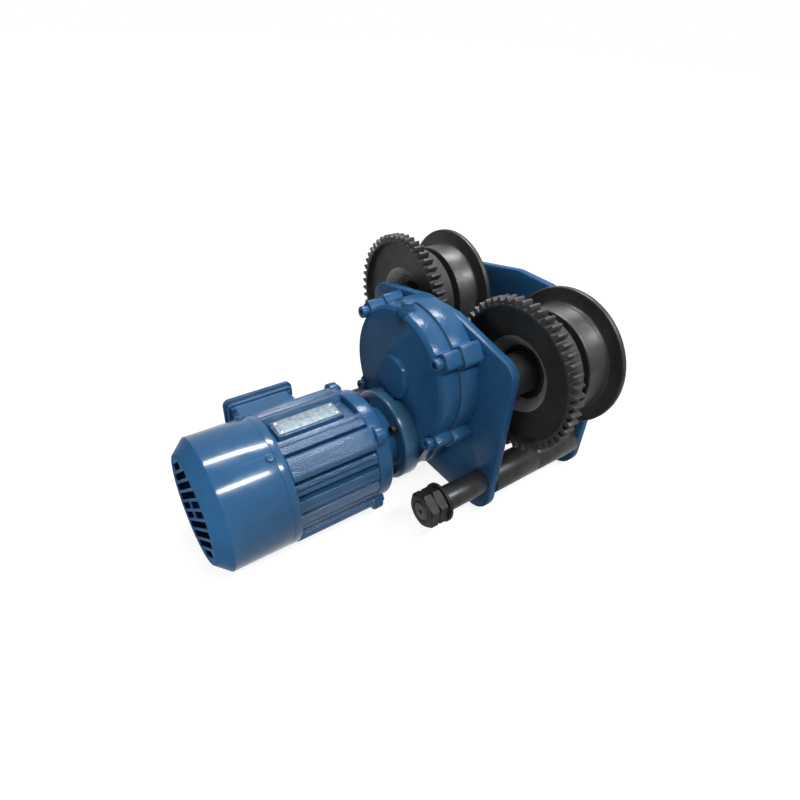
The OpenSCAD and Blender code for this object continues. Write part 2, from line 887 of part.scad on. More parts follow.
module gearbox_cover() {
    small_boss_angle = 22;
    boss_edge = 1.5;
    spot_r = 7.5;
    color(enamel)
        difference() {
            union() {
                span(cover_front_y + cover_edge, cover_back_y)
                    pear(gearbox_cover_r, lobe_r);
                span(cover_front_y, cover_back_y)
                    pear(gearbox_cover_r - cover_edge, lobe_r - cover_edge);
                taper(0, output_z, cover_front_y, cover_front_y + cover_edge,
                    gearbox_cover_r - cover_edge, gearbox_cover_r);
                taper(0, motor_z, cover_front_y, cover_front_y + cover_edge,
                    lobe_r - cover_edge, lobe_r);
                span(lug_front_y, cover_back_y)
                    lug_outline(lug_half);
                rod(0, output_z, boss_front_y + boss_edge, cover_front_y + 1, boss_r);
                taper(0, output_z, boss_front_y, boss_front_y + boss_edge,
                    boss_r - boss_edge, boss_r);
                top_boss(plug_washer_r + 1, plug_seat_z - output_z - gearbox_cover_r);
                rotate_about_output(small_boss_angle)
                    top_boss(5, 2);
            }
            difference() {
                span(cavity_front_y, cover_back_y + 1)
                    pear(cavity_r, cavity_lobe_r);
                rod(0, output_z, cavity_front_y - 1, cover_bearing_y,
                    cover_bearing_r + bearing_seat_wall);
            }
            rod(0, output_z, cover_front_y, cover_bearing_y + 1, cover_bearing_r + press_clear);
            rod(0, motor_z, cover_front_y - 1, cavity_front_y + 1, seal_r + press_clear);
            gearbox_bolt_rods(cover_front_y - 1, cover_back_y + 1,
                gearbox_screw_r + gearbox_screw_clear);
            gearbox_bolt_rods(cover_front_y - 1, lug_front_y, spot_r);
            translate([0, plug_y, output_z + cavity_r - 6])
                cylinder(h = plug_seat_z - output_z - cavity_r + 7, r = plug_r + thread_clear);
            adapter_bolt_rods(cover_front_y - 1, adapter_screw_tip_y + 1,
                adapter_screw_r + run_clear);
        }
}

// Socket head cap screw with its head towards negative y
module cap_screw(x, z, seat_y, tip_y, r) {
    head_h = 2 * r;
    head_r = 1.6 * r;
    difference() {
        union() {
            rod(x, z, seat_y - head_h, seat_y, head_r);
            rod(x, z, seat_y, tip_y, r);
        }
        translate([x, seat_y - head_h + 1.1 * r, z])
            rotate([90, 0, 0])
                cylinder(h = 2 * r, r = 0.85 * r, $fn = 6);
    }
}

module gearbox_screws() {
    color(black_steel)
        for (sx = [-1, 1])
            for (sz = [-1, 1])
                cap_screw(sx * gearbox_bolt_dx / 2, output_z + sz * gearbox_bolt_dz / 2,
                    lug_front_y, plate_in_y - 1, gearbox_screw_r);
}

module oil_plug() {
    hex_z = plug_seat_z + plug_washer_t;
    collar_h = 1;
    color(enamel)
        translate([0, plug_y, 0]) {
            translate([0, 0, plug_seat_z - plug_depth])
                cylinder(h = plug_depth + plug_washer_t, r = plug_r);
            translate([0, 0, hex_z])
                cylinder(h = collar_h, r = plug_hex_r + 0.5);
            translate([0, 0, hex_z + collar_h])
                cylinder(h = plug_hex_h, r = plug_hex_r, $fn = 6);
        }
}

module oil_plug_washer() {
    color(bright_steel)
        translate([0, plug_y, plug_seat_z])
            difference() {
                cylinder(h = plug_washer_t, r = plug_washer_r);
                translate([0, 0, -1])
                    cylinder(h = plug_washer_t + 2, r = plug_r + loose);
            }
}

module output_seal() {
    y0 = plate_out_y + seal_inset;
    color(black_rubber)
        ring(0, output_z, y0, y0 + seal_w, seal_r, output_shaft_r + run_clear);
}

module output_bearing_outers() {
    color(bright_steel) {
        ring(0, output_z, output_bearing_y, plate_out_y, output_bearing_r, output_mid_r + run_clear);
        ring(0, output_z, cover_front_y, cover_bearing_y, cover_bearing_r, cover_mid_r + run_clear);
    }
}

module output_bearing_inners() {
    color(bright_steel) {
        ring(0, output_z, output_bearing_y, plate_out_y, output_mid_r, output_shaft_r + press_clear);
        ring(0, output_z, cover_front_y, cover_bearing_y, cover_mid_r, cover_shaft_r + press_clear);
    }
}

module output_shaft() {
    gear_back_y = output_bearing_y;
    color(black_steel) {
        turned(0, output_z)
            polygon([
                [0, cover_front_y + 1], [cover_shaft_r - 1, cover_front_y + 1],
                [cover_shaft_r, cover_front_y + 2],
                [cover_shaft_r, cover_bearing_y], [gear_seat_r, cover_bearing_y],
                [gear_seat_r, gear_back_y], [output_shaft_r, gear_back_y],
                [output_shaft_r, pinion_y0 - 4], [output_shaft_r + 2, pinion_y0],
                [output_shaft_r + 2, pinion_y0 + pinion_w], [0, pinion_y0 + pinion_w]
            ]);
        gear_ring(0, output_z, pinion_y0, pinion_y0 + pinion_w, wheel_module, pinion_teeth,
            pinion_shift, 90);
    }
}

module reduction_gear() {
    pitch_r = motor_module * reduction_teeth / 2;
    hub_seat_r = gear_seat_r + 10;
    lightening_ring_r = (gear_seat_r + pitch_r) / 2;
    color(bright_steel)
        difference() {
            gear_ring(0, output_z, reduction_y, reduction_y + reduction_w, motor_module,
                reduction_teeth, reduction_shift, 90);
            rod(0, output_z, reduction_y - 1, reduction_y + reduction_w + 1,
                gear_seat_r + press_clear);
            ring(0, output_z, reduction_y - 1, reduction_y + 4, pitch_r - 10, hub_seat_r);
            for (a = [0:60:300])
                rod(lightening_ring_r * cos(a), output_z + lightening_ring_r * sin(a),
                    reduction_y - 1, reduction_y + reduction_w + 1, 9);
        }
}

module adapter_bolt_rods(y0, y1, r) {
    for (a = tie_angles)
        rod(adapter_bolt_r * cos(a), motor_z + adapter_bolt_r * sin(a), y0, y1, r);
}

// Round flange between the gearbox and the motor
module motor_adapter() {
    edge = 1.5;
    r = adapter_d / 2;
    color(dark_enamel)
        difference() {
            turned(0, motor_z)
                polygon([
                    [0, adapter_y], [r - edge, adapter_y], [r, adapter_y + edge],
                    [r, cover_front_y], [0, cover_front_y]
                ]);
            rod(0, motor_z, adapter_y - 1, cover_front_y + 1, seal_r + 6);
            adapter_bolt_rods(adapter_y - 1, cover_front_y + 1,
                adapter_screw_r + gearbox_screw_clear);
            rod(0, output_z, boss_front_y - 1, cover_front_y + 1, boss_r + 1);
        }
}

module adapter_screws() {
    color(black_steel)
        for (a = tie_angles)
            cap_screw(adapter_bolt_r * cos(a), motor_z + adapter_bolt_r * sin(a), adapter_y,
                adapter_screw_tip_y, adapter_screw_r);
}

module input_seal() {
    y0 = cover_front_y + seal_inset;
    color(black_rubber)
        ring(0, motor_z, y0, y0 + input_seal_w, seal_r, motor_shaft_r + run_clear);
}

// Round bars at the four tie bolts
module tie_rods(y0, y1, r) {
    for (a = tie_angles)
        rod(tie_r * cos(a), motor_z + tie_r * sin(a), y0, y1, r);
}

// Outline of the ears that reach out from the motor to its tie bolts
module ear_outline(r) {
    root = 8;
    for (a = tie_angles)
        rotate(a) {
            translate([body_r - root, -r])
                square([tie_r - body_r + root, 2 * r]);
            translate([tie_r, 0])
                circle(r = r);
        }
}

module ears(y0, y1, r) {
    translate([0, 0, motor_z])
        span(y0, y1)
            ear_outline(r);
}

module drive_end_shield() {
    neck_r = 35;
    rim_y = flare_y - 3;
    shell_in_y = flare_y - 6;
    spigot_in_r = seal_r + 5.9;
    color(enamel)
        difference() {
            union() {
                turned(0, motor_z)
                    polygon([
                        [0, adapter_y], [neck_r, adapter_y], [neck_r, neck_y],
                        [fin_r - 4, flare_y], [fin_r, rim_y], [fin_r, shield_y], [0, shield_y]
                    ]);
                ears(shield_y, ear_seat_y, ear_r);
                rod(0, motor_z, adapter_y, adapter_y + 3, spigot_in_r);
            }
            difference() {
                rod(0, motor_z, shield_y - 1, shell_in_y, stator_r - 1);
                rod(0, motor_z, drive_bearing_y - motor_bearing_w, shell_in_y + 1,
                    motor_bearing_r + bearing_seat_wall);
            }
            rod(0, motor_z, shield_y - 1, drive_bearing_y, motor_bearing_r + press_clear);
            rod(0, motor_z, drive_bearing_y - 1, adapter_y + 4, motor_shaft_r + 1);
            tie_rods(shield_y - 1, ear_seat_y + 1, tie_screw_r + run_clear);
            tie_rods(ear_seat_y, neck_y + 1, ear_r - 2);
        }
}

// Cast body with its fins, tie bolt bosses and nameplate pad
side_fins = [for (k = [-1.5:1:1.5]) k * 17];
broad_fins = [69.5, 110.5];
module fin(angle, reach, thickness) {
    root = 3;
    rotate(angle)
        translate([body_r - root, -thickness / 2])
            square([reach - body_r + root, thickness]);
}

// Broad bosses along the body's corners, which the tie bolts pass through
module corner_bosses() {
    root = body_r - 8;
    for (a = tie_angles)
        rotate(a)
            rounded_outline([
                [corner_reach, -corner_half, 6], [corner_reach, corner_half, 6],
                [root, corner_half, 1], [root, -corner_half, 1]
            ]);
}

module body_section() {
    circle(r = body_r);
    corner_bosses();
    for (a = side_fins) {
        fin(a, fin_r, fin_t);
        fin(180 + a, fin_r, fin_t);
        fin(270 + a, fin_r, fin_t);
    }
    for (a = broad_fins)
        fin(a, fin_r + 2, 2 * fin_t);
}

module motor_body() {
    pad_w = nameplate_w + 2 * plate_pad_edge;
    pad_len = nameplate_len + 2 * plate_pad_edge;
    pad_root = body_r - 8;
    color(enamel)
        difference() {
            union() {
                translate([0, 0, motor_z])
                    span(body_back_y, shield_y)
                        body_section();
                translate([-pad_w / 2, plate_pad_y - pad_len / 2, motor_z + pad_root])
                    cube([pad_w, pad_len, nameplate_z - motor_z - pad_root]);
                translate([-box_seat, body_back_y, motor_z - box_h / 2])
                    cube([box_seat - body_r + 10, box_y + box_len - body_back_y, box_h]);
            }
            rod(0, motor_z, body_back_y - 1, shield_y + 1, stator_r + press_clear);
            tie_rods(body_back_y - 1, shield_y + 1, tie_screw_r + gearbox_screw_clear);
            translate([-box_seat - 1, box_y + box_len / 2, motor_z])
                rotate([0, 90, 0])
                    cylinder(h = box_seat - stator_r + 6, r = box_window_r);
        }
}

// Places round the fan cover's open end, with the radius along x
module fan_screw_places() {
    for (a = fan_screw_angles)
        translate([0, fan_screw_y, motor_z])
            rotate([0, -a, 0])
                children();
}

module rear_end_shield() {
    color(enamel)
        difference() {
            union() {
                rod(0, motor_z, rear_lip_y, body_back_y, fin_r);
                rod(0, motor_z, rear_shield_y, rear_lip_y, fan_cover_inner_r);
                ears(rear_lip_y, body_back_y, ear_r);
            }
            rod(0, motor_z, body_back_y - motor_bearing_w, body_back_y + 1,
                motor_bearing_r + press_clear);
            rod(0, motor_z, rear_shield_y - 1, body_back_y - motor_bearing_w + 1,
                motor_shaft_r + 1);
            tie_rods(rear_lip_y + 1, body_back_y + 1, tie_screw_r + run_clear);
            fan_screw_places()
                translate([fan_cover_inner_r - 8, 0, 0])
                    rotate([0, 90, 0])
                        cylinder(h = 12, r = fan_screw_r + loose);
        }
}

module motor_tie_bolts() {
    color(bright_steel)
        for (a = tie_angles) {
            x = tie_r * cos(a);
            z = motor_z + tie_r * sin(a);
            rod(x, z, rear_lip_y + 2, ear_seat_y, tie_screw_r);
            translate([x, ear_seat_y + tie_head_h, z])
                rotate([90, 0, 0])
                    cylinder(h = tie_head_h, r = tie_head_r, $fn = 6);
        }
}

module stator_core() {
    color(bright_steel)
        ring(0, motor_z, body_back_y + stator_inset, shield_y - stator_inset, stator_r,
            rotor_r + 0.5);
}

module stator_windings() {
    depth = stator_inset - 2;
    color("#8A4B20") {
        ring(0, motor_z, shield_y - stator_inset, shield_y - stator_inset + depth,
            stator_r - 3, rotor_r + 3);
        ring(0, motor_z, body_back_y + stator_inset - depth, body_back_y + stator_inset,
            stator_r - 3, rotor_r + 3);
    }
}

module motor_bearing_pair(r_out, r_in) {
    color(bright_steel)
        for (y = [drive_bearing_y, body_back_y])
            ring(0, motor_z, y - motor_bearing_w, y, r_out, r_in);
}

module motor_bearing_outers() {
    motor_bearing_pair(motor_bearing_r, motor_mid_r + run_clear);
}

module motor_bearing_inners() {
    motor_bearing_pair(motor_mid_r, motor_shaft_r + press_clear);
}

module motor_shaft() {
    front_seat_y = drive_bearing_y - motor_bearing_w;
    rear_seat_y = body_back_y - motor_bearing_w;
    fan_end_y = fan_y - 14;
    color(bright_steel)
        turned(0, motor_z)
            polygon([
                [0, fan_end_y], [fan_shaft_r, fan_end_y], [fan_shaft_r, rear_seat_y],
                [motor_shaft_r, rear_seat_y], [motor_shaft_r, body_back_y],
                [rotor_seat_r, body_back_y], [rotor_seat_r, front_seat_y],
                [motor_shaft_r, front_seat_y],
                [motor_shaft_r, motor_pinion_y0], [pinion_shaft_r, motor_pinion_y0],
                [pinion_shaft_r, motor_pinion_y1], [0, motor_pinion_y1]
            ]);
}

module rotor_core() {
    color(bright_steel)
        ring(0, motor_z, body_back_y + stator_inset, shield_y - stator_inset, rotor_r,
            rotor_seat_r + press_clear);
}

module motor_pinion() {
    color(black_steel)
        difference() {
            gear_ring(0, motor_z, motor_pinion_y0, motor_pinion_y1, motor_module,
                motor_pinion_teeth, motor_pinion_shift, 90 + 180 / motor_pinion_teeth);
            rod(0, motor_z, motor_pinion_y0 - 1, motor_pinion_y1 + 1,
                pinion_shaft_r + press_clear);
        }
}

module cooling_fan() {
    blade_r = fan_cover_r - 12;
    fan_hub_r = motor_shaft_r + 5;
    disc_t = 3;
    blade_len = 24;
    color(black_rubber)
        difference() {
            union() {
                rod(0, motor_z, fan_y - 12, fan_y, fan_hub_r);
                rod(0, motor_z, fan_y - disc_t, fan_y, blade_r);
                for (a = [0:40:320])
                    translate([0, 0, motor_z])
                        rotate([0, a, 0])
                            translate([fan_hub_r - 2, fan_y - blade_len, -1])
                                cube([blade_r - fan_hub_r + 1, blade_len - disc_t / 2, 2]);
            }
            rod(0, motor_z, fan_y - blade_len - 1, fan_y + 1, fan_shaft_r + press_clear);
        }
}

// Rows of slots across the fan cover's end; a link splits the middle two rows
grille_angle = 42;
grille_edge = 4;
grille_link = 6;
module grille_slots() {
    grille_r = fan_cover_r - fan_cover_step - grille_edge;
    rows = floor(grille_r / slot_pitch);
    rotate(grille_angle)
        for (k = [-rows:rows - 1]) {
            d = (k + 0.5) * slot_pitch;
            far_edge = abs(d) + slot_w / 2;
            reach = sqrt(grille_r * grille_r - far_edge * far_edge);
            difference() {
                translate([-reach, d - slot_w / 2])
                    square([2 * reach, slot_w]);
                if (abs(d) < slot_pitch)
                    translate([-grille_link / 2, d - slot_w])
                        square([grille_link, 2 * slot_w]);
            }
        }
}

// Pressed cover with a slotted end
module fan_cover() {
    r = fan_cover_r;
    t = fan_cover_t;
    end_r = r - fan_cover_step;
    cone_y = fan_cover_end_y + fan_cover_cone;
    color(enamel)
        difference() {
            turned(0, motor_z)
                polygon([
                    [r - t, fan_cover_y], [r, fan_cover_y], [r, cone_y],
                    [end_r, fan_cover_end_y], [0, fan_cover_end_y], [0, fan_cover_end_y + t],
                    [end_r - 0.7, fan_cover_end_y + t], [r - t, cone_y + 0.7]
                ]);
            span(fan_cover_end_y - 1, fan_cover_end_y + 2 * t)
                translate([0, motor_z])
                    grille_slots();
            fan_screw_places()
                translate([r - 5, 0, 0])
                    rotate([0, 90, 0])
                        cylinder(h = 12, r = fan_screw_r + loose);
        }
}

module fan_cover_screws() {
    head_h = fan_screw_r;
    screw_len = 3.2 * fan_screw_r;
    color(enamel)
        fan_screw_places()
            translate([fan_cover_r, 0, 0])
                rotate([0, 90, 0]) {
                    translate([0, 0, -screw_len])
                        cylinder(h = screw_len, r = fan_screw_r);
                    cylinder(h = head_h, r1 = 1.8 * fan_screw_r, r2 = 1.4 * fan_screw_r);
                }
}

// Terminal box on the rear side of the motor
module box_outline(over) {
    y0 = box_y - over;
    y1 = box_y + box_len + over;
    z0 = motor_z - box_h / 2 - over;
    z1 = motor_z + box_h / 2 + over;
    r = 4 + over / 2;
    rounded_outline([[y0, z0, r], [y1, z0, r], [y1, z1, r], [y0, z1, r]]);
}

module slab(x0, x1) {
    translate([x0, 0, 0])
        rotate([90, 0, 90])
            linear_extrude(height = x1 - x0)
                children();
}

lid_screw_inset = 1;
lid_screw_y = [box_y + lid_screw_inset, box_y + box_len - lid_screw_inset];
lid_screw_z = [motor_z - box_h / 2 + lid_screw_inset, motor_z + box_h / 2 - lid_screw_inset];
module lid_screw_places() {
    for (y = lid_screw_y)
        for (z = lid_screw_z)
            translate([0, y, z])
                children();
}

// Round bars along x at the lid's screws
module lid_screw_rods(x0, x1, r) {
    lid_screw_places()
        translate([x0, 0, 0])
            rotate([0, 90, 0])
                cylinder(h = x1 - x0, r = r);
}

module terminal_box() {
    color(enamel)
        difference() {
            union() {
                slab(-box_reach, -box_seat)
                    box_outline(0);
                slab(-box_reach, -box_reach + box_rim_t)
                    box_outline(box_rim);
                translate([entry_x, box_y + box_len / 2, motor_z - box_h / 2 - entry_boss_h])
                    cylinder(h = entry_boss_h + 1, r = cable_entry_d / 2 + entry_boss_wall);
            }
            difference() {
                slab(-box_reach - 1, -box_seat - box_wall)
                    box_outline(-box_wall);
                lid_screw_rods(-box_reach - 2, -box_seat, 6);
            }
            translate([-box_seat - box_wall - 1, box_y + box_len / 2, motor_z])
                rotate([0, 90, 0])
                    cylinder(h = box_wall + 2, r = box_window_r);
            lid_screw_rods(-box_reach - 1, -box_reach + lid_screw_depth, lid_screw_r + run_clear);
            translate([entry_x, box_y + box_len / 2, motor_z - box_h / 2 - entry_boss_h - 1])
                cylinder(h = entry_boss_h + box_wall + 2, r = cable_entry_d / 2);
        }
}

module gasket_window() {
    edge = box_wall + 4;
    y0 = box_y + edge;
    y1 = box_y + box_len - edge;
    z0 = motor_z - box_h / 2 + edge;
    z1 = motor_z + box_h / 2 - edge;
    polygon([[y0, z0], [y1, z0], [y1, z1], [y0, z1]]);
    for (y = lid_screw_y)
        for (z = lid_screw_z)
            translate([y, z])
                circle(r = lid_screw_r + 0.3);
}

module terminal_box_gasket() {
    color(black_rubber)
        slab(lid_y, -box_reach)
            difference() {
                box_outline(box_rim);
                gasket_window();
            }
}

module terminal_box_lid() {
    edge = 2;
    color(enamel)
        difference() {
            union() {
                slab(lid_y - lid_t + edge, lid_y)
                    box_outline(lid_over);
                slab(lid_y - lid_t, lid_y)
                    box_outline(lid_over - edge);
            }
            lid_screw_rods(lid_y - lid_t - 1, lid_y + 1, lid_screw_r + 0.3);
        }
}

module terminal_lid_screws() {
    head_h = 2.2;
    color(bright_steel) {
        lid_screw_rods(lid_y - lid_t, -box_reach + lid_screw_depth - 3, lid_screw_r);
        lid_screw_places()
            translate([lid_y - lid_t - head_h, 0, 0])
                rotate([0, 90, 0])
                    cylinder(h = head_h, r1 = 3.2, r2 = 4);
    }
}

module terminal_block() {
    block_t = 10;
    block_len = 44;
    color("#3A2A20")
        translate([-box_seat - box_wall, box_y + box_len / 2, motor_z + 22]) {
            translate([-block_t, -block_len / 2, -block_t / 2])
                cube([block_t, block_len, block_t]);
            for (k = [-2.5:1:2.5])
                translate([-block_t - 6, k * 7, 0])
                    rotate([0, 90, 0])
                        cylinder(h = 8, r = 2);
        }
}

module nameplate() {
    color("silver")
        translate([-nameplate_w / 2, plate_pad_y - nameplate_len / 2, nameplate_z])
            cube([nameplate_w, nameplate_len, nameplate_t]);
}

drive_side_plate();
idle_side_plate();
front_load_shaft();
rear_load_shaft();
load_shaft_nuts();
load_shaft_washers();
load_shaft_split_pins();
outer_spacer_pipes();
inner_spacer_collars();
front_drive_axle();
rear_drive_axle();
front_idle_axle();
rear_idle_axle();
axle_circlips();
wheel_bearing_inner_rings();
front_drive_bearing_outers();
rear_drive_bearing_outers();
front_idle_bearing_outers();
rear_idle_bearing_outers();
front_drive_wheel();
rear_drive_wheel();
front_idle_wheel();
rear_idle_wheel();
gearbox_housing();
gearbox_gasket();
gearbox_cover();
gearbox_screws();
oil_plug();
oil_plug_washer();
output_seal();
output_bearing_outers();
output_shaft();
output_bearing_inners();
reduction_gear();
motor_adapter();
adapter_screws();
input_seal();
drive_end_shield();
motor_body();
rear_end_shield();
motor_tie_bolts();
stator_core();
stator_windings();
motor_bearing_outers();
motor_shaft();
motor_bearing_inners();
rotor_core();
motor_pinion();
cooling_fan();
fan_cover();
fan_cover_screws();
terminal_box();
terminal_box_gasket();
terminal_box_lid();
terminal_lid_screws();
terminal_block();
nameplate();
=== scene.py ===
"""Looks of a motorized beam trolley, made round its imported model.

Lengths are in metres, or in mm times MM."""

import json
import math

import bmesh
import bpy
from mathutils import Matrix, Vector


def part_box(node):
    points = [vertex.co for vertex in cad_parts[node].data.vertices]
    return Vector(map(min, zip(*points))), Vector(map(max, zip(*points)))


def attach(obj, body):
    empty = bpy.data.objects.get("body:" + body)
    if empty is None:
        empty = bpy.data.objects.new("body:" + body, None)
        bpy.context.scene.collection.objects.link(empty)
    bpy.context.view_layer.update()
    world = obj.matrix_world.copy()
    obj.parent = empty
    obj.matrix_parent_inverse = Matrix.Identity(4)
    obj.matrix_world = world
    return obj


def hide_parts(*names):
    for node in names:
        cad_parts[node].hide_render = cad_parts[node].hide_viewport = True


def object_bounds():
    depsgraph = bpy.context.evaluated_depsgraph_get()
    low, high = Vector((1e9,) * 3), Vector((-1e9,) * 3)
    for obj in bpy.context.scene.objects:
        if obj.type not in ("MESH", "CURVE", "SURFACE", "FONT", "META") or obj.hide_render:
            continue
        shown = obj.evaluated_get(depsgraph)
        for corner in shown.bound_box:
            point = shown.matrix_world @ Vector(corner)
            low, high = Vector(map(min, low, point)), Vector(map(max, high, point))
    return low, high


MM = 0.001

# Places along the axles and of the shafts, in mm, as in the part's source
AXLE_X = 93
AXLE_Z = 55.5
MOTOR_Z = -45.7788
BEARING_FACE_Y = 33.2
BEARING_W = 13
BEARING_R = 27.5
TREAD_R = 55.5
# Radius past which the gear teeth are rubbed bright
TOOTH_R = 73.5
# The drive wheel's web and the mouth turned into it, down to MOUTH_Y
WEB_Y = -36.5
MOUTH_R = 39
MOUTH_Y = -27
# The motor body's back face, and the fan cover's front rim, radius and slotted end
BODY_BACK_Y = -258
COVER_Y = -266
COVER_R = 66.5
COVER_END_Y = -336
# Radius inside the motor body at which its ribs start
RIB_FOOT_R = 50

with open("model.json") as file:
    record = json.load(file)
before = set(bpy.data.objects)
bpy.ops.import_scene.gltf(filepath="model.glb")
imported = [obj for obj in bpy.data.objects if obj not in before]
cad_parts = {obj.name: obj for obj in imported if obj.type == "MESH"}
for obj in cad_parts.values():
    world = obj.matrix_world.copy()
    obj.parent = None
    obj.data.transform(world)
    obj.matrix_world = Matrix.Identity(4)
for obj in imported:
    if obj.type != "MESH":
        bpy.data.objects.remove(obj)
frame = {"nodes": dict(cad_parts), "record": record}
cad_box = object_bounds()
BODY_OF = {
    node: body
    for body, nodes in frame["record"]["behaviour"]["bodies"].items()
    for node in nodes
}
SLOT_OF = {part["node"]: part["material_slot"] for part in frame["record"]["subparts"]}


def colour(code):
    """Turns an sRGB hex colour into linear RGBA."""
    parts = [int(code[i:i + 2], 16) / 255 for i in (1, 3, 5)]
    linear = [p / 12.92 if p <= 0.04045 else ((p + 0.055) / 1.055) ** 2.4 for p in parts]
    return (*linear, 1.0)


def add(tree, kind, inputs, **settings):
    """Adds a node with its settings; each input is given a value or another node's socket."""
    node = tree.nodes.new(kind)
    for name, value in settings.items():
        setattr(node, name, value)
    for socket, value in inputs.items():
        if isinstance(value, bpy.types.NodeSocket):
            tree.links.new(value, node.inputs[socket])
        else:
            node.inputs[socket].default_value = value
    return node


def new_finish(name, values):
    """Starts a finish whose shader holds these plain values."""
    made = bpy.data.materials.new(name)
    made.use_nodes = True
    tree = made.node_tree
    shader = tree.nodes["Principled BSDF"]
    for socket, value in values.items():
        shader.inputs[socket].default_value = value
    place = add(tree, "ShaderNodeTexCoord", {}).outputs["Object"]
    return made, tree, shader, place


def machine_enamel(name, tones, shine, roughness, grain, ripple):
    """Air-drying machine enamel, whose gloss shows the casting's sand grain or the sheet's ripple.

    tones are its light and deep blue, shine its specular and coat. grain and ripple are each a size and a
    depth in mm; sand's real grain is under 1 mm, and it is drawn wider so that it shows."""
    made, tree, shader, place = new_finish(name, {
        "IOR": 1.5,
        "Specular IOR Level": shine[0],
        "Coat Weight": shine[1],
        "Coat Roughness": 0.06,
    })
    patches = add(tree, "ShaderNodeTexNoise", {"Vector": place, "Scale": 1 / (38 * MM), "Detail": 3.0})
    tint = add(tree, "ShaderNodeMapRange", {
        "Value": patches.outputs["Fac"], "From Min": 0.32, "From Max": 0.68,
    })
    paint = add(tree, "ShaderNodeMix", {
        0: tint.outputs["Result"], 6: colour(tones[1]), 7: colour(tones[0]),
    }, data_type="RGBA")
    tree.links.new(paint.outputs[2], shader.inputs["Base Color"])
    dulling = add(tree, "ShaderNodeTexNoise", {"Vector": place, "Scale": 1 / (11 * MM), "Detail": 3.0})
    gloss = add(tree, "ShaderNodeMapRange", {
        "Value": dulling.outputs["Fac"], "From Min": 0.3, "From Max": 0.7,
        "To Min": roughness - 0.05, "To Max": roughness + 0.08,
    })
    tree.links.new(gloss.outputs["Result"], shader.inputs["Roughness"])
    swell = add(tree, "ShaderNodeTexNoise", {"Vector": place, "Scale": 1 / (ripple[0] * MM), "Detail": 1.0})
    sand = add(tree, "ShaderNodeTexNoise", {"Vector": place, "Scale": 1 / (grain[0] * MM), "Detail": 1.5})
    waves = add(tree, "ShaderNodeBump", {
        "Height": swell.outputs["Fac"], "Distance": ripple[1] * MM, "Strength": 1.0,
    })
    relief = add(tree, "ShaderNodeBump", {
        "Height": sand.outputs["Fac"], "Distance": grain[1] * MM, "Strength": 1.0,
        "Normal": waves.outputs["Normal"],
    })
    tree.links.new(relief.outputs["Normal"], shader.inputs["Normal"])
    return made


def blackened_steel(name, light, deep, roughness, grain_depth, lathe_mm=0.0):
    """Phosphated, oiled steel: nearly black with a soft grey sheen.

    lathe_mm is the feed of its turning marks. The phosphate's crystals are far finer than 1.4 mm, and
    are drawn that wide so that they show."""
    made, tree, shader, place = new_finish(name, {"Metallic": 0.15, "Specular IOR Level": 0.15})
    patches = add(tree, "ShaderNodeTexNoise", {"Vector": place, "Scale": 1 / (16 * MM), "Detail": 4.0})
    tint = add(tree, "ShaderNodeMapRange", {
        "Value": patches.outputs["Fac"], "From Min": 0.32, "From Max": 0.68,
    })
    oxide = add(tree, "ShaderNodeMix", {
        0: tint.outputs["Result"], 6: colour(deep), 7: colour(light),
    }, data_type="RGBA")
    tree.links.new(oxide.outputs[2], shader.inputs["Base Color"])
    oil = add(tree, "ShaderNodeTexNoise", {"Vector": place, "Scale": 1 / (7 * MM), "Detail": 4.0})
    gloss = add(tree, "ShaderNodeMapRange", {
        "Value": oil.outputs["Fac"], "From Min": 0.3, "From Max": 0.7,
        "To Min": roughness - 0.07, "To Max": roughness + 0.09,
    })
    tree.links.new(gloss.outputs["Result"], shader.inputs["Roughness"])
    grain = add(tree, "ShaderNodeTexNoise", {"Vector": place, "Scale": 1 / (1.4 * MM), "Detail": 2.0})
    relief = add(tree, "ShaderNodeBump", {
        "Height": grain.outputs["Fac"], "Distance": grain_depth * MM, "Strength": 1.0,
    })
    if lathe_mm:
        # The feed is drawn three times as coarse as it is, so that it shows
        feed = add(tree, "ShaderNodeTexWave", {
            "Vector": place, "Scale": 0.05 / (3 * lathe_mm * MM), "Distortion": 0.5, "Detail": 1.0,
        }, wave_type="BANDS", bands_direction="Y")
        relief = add(tree, "ShaderNodeBump", {
            "Height": feed.outputs["Fac"], "Distance": 0.02 * MM, "Strength": 1.0,
            "Normal": relief.outputs["Normal"],
        })
    tree.links.new(relief.outputs["Normal"], shader.inputs["Normal"])
    return made


def bare_metal(name, base, roughness):
    """Ground or plated metal, whose shine changes a little with handling."""
    made, tree, shader, place = new_finish(name, {"Metallic": 1.0, "Base Color": colour(base)})
    handling = add(tree, "ShaderNodeTexNoise", {"Vector": place, "Scale": 1 / (5 * MM), "Detail": 3.0})
    gloss = add(tree, "ShaderNodeMapRange", {
        "Value": handling.outputs["Fac"], "From Min": 0.3, "From Max": 0.7,
        "To Min": roughness - 0.06, "To Max": roughness + 0.08,
    })
    tree.links.new(gloss.outputs["Result"], shader.inputs["Roughness"])
    return made


